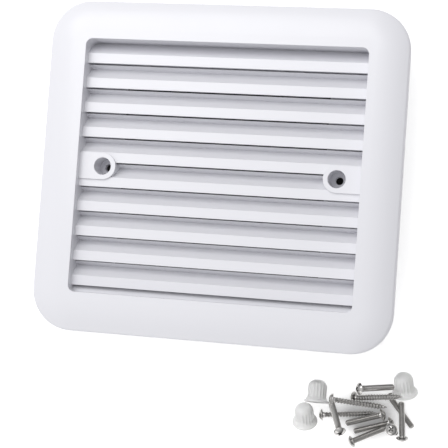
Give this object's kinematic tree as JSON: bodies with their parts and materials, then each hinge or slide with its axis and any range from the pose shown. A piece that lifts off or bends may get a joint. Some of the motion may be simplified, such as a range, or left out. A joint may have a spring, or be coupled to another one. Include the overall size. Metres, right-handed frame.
{
  "type": "louvred vent cover",
  "caption": "White louvred vent cover for a caravan wall or roof, with a square fan and insect mesh behind it and a loose kit of screws and wire caps.",
  "frame": {"origin": "centre of the cover on the wall plane, midway between the two wall screw holes", "axes": "+Z out of the vehicle, +Y towards the cover's top edge, +X to the right when looking at the louvre"},
  "size_m": [0.2293, 0.2549, 0.0474],
  "materials": {
    "white_abs": "gloss moulded",
    "plate_abs": "fine matte",
    "screen_mesh": "woven",
    "foam": "closed-cell foam",
    "zinc_steel": "bright zinc",
    "fan_black": "fine matte",
    "rotor_steel": "drawn",
    "magnet": "matte bonded ferrite",
    "shaft_steel": "ground",
    "bronze": "sintered",
    "core_steel": "laminated",
    "bobbin": "fine matte",
    "copper": "enamelled wire",
    "board": "solder mask",
    "chip": "moulded epoxy",
    "nylon": "translucent",
    "tinned": "tinned"
  },
  "bodies": {
    "cover": {"louvre_grille": "white_abs", "blanking_plate": "plate_abs", "insect_screen": "screen_mesh", "seal_gasket": "foam", "plate_screws": "zinc_steel", "fan_frame": "fan_black", "fan_screws": "zinc_steel", "front_bearing": "bronze", "rear_bearing": "bronze", "stator_core": "core_steel", "stator_insulator": "bobbin", "stator_coils": "copper", "circuit_board": "board", "driver_chip": "chip"},
    "fan_rotor": {"impeller": "fan_black", "rotor_cup": "rotor_steel", "ring_magnet": "magnet", "fan_shaft": "shaft_steel", "shaft_clip": "shaft_steel"},
    "fixing_kit": {"self_tapping_screws": "zinc_steel", "machine_screws": "zinc_steel", "wire_caps": "nylon", "crimp_sleeves": "tinned"}
  },
  "joints": [
    {"name": "fan_spin", "type": "hinge", "parent": "cover", "child": "fan_rotor", "pos_m": [0, 0, -0.0085], "axis": [0, 0, 1], "continuous": true},
    {"name": "kit_lift", "type": "slide", "parent": "cover", "child": "fixing_kit", "axis": [0, 0, 1], "range_m": [0, 0.06]}
  ]
}
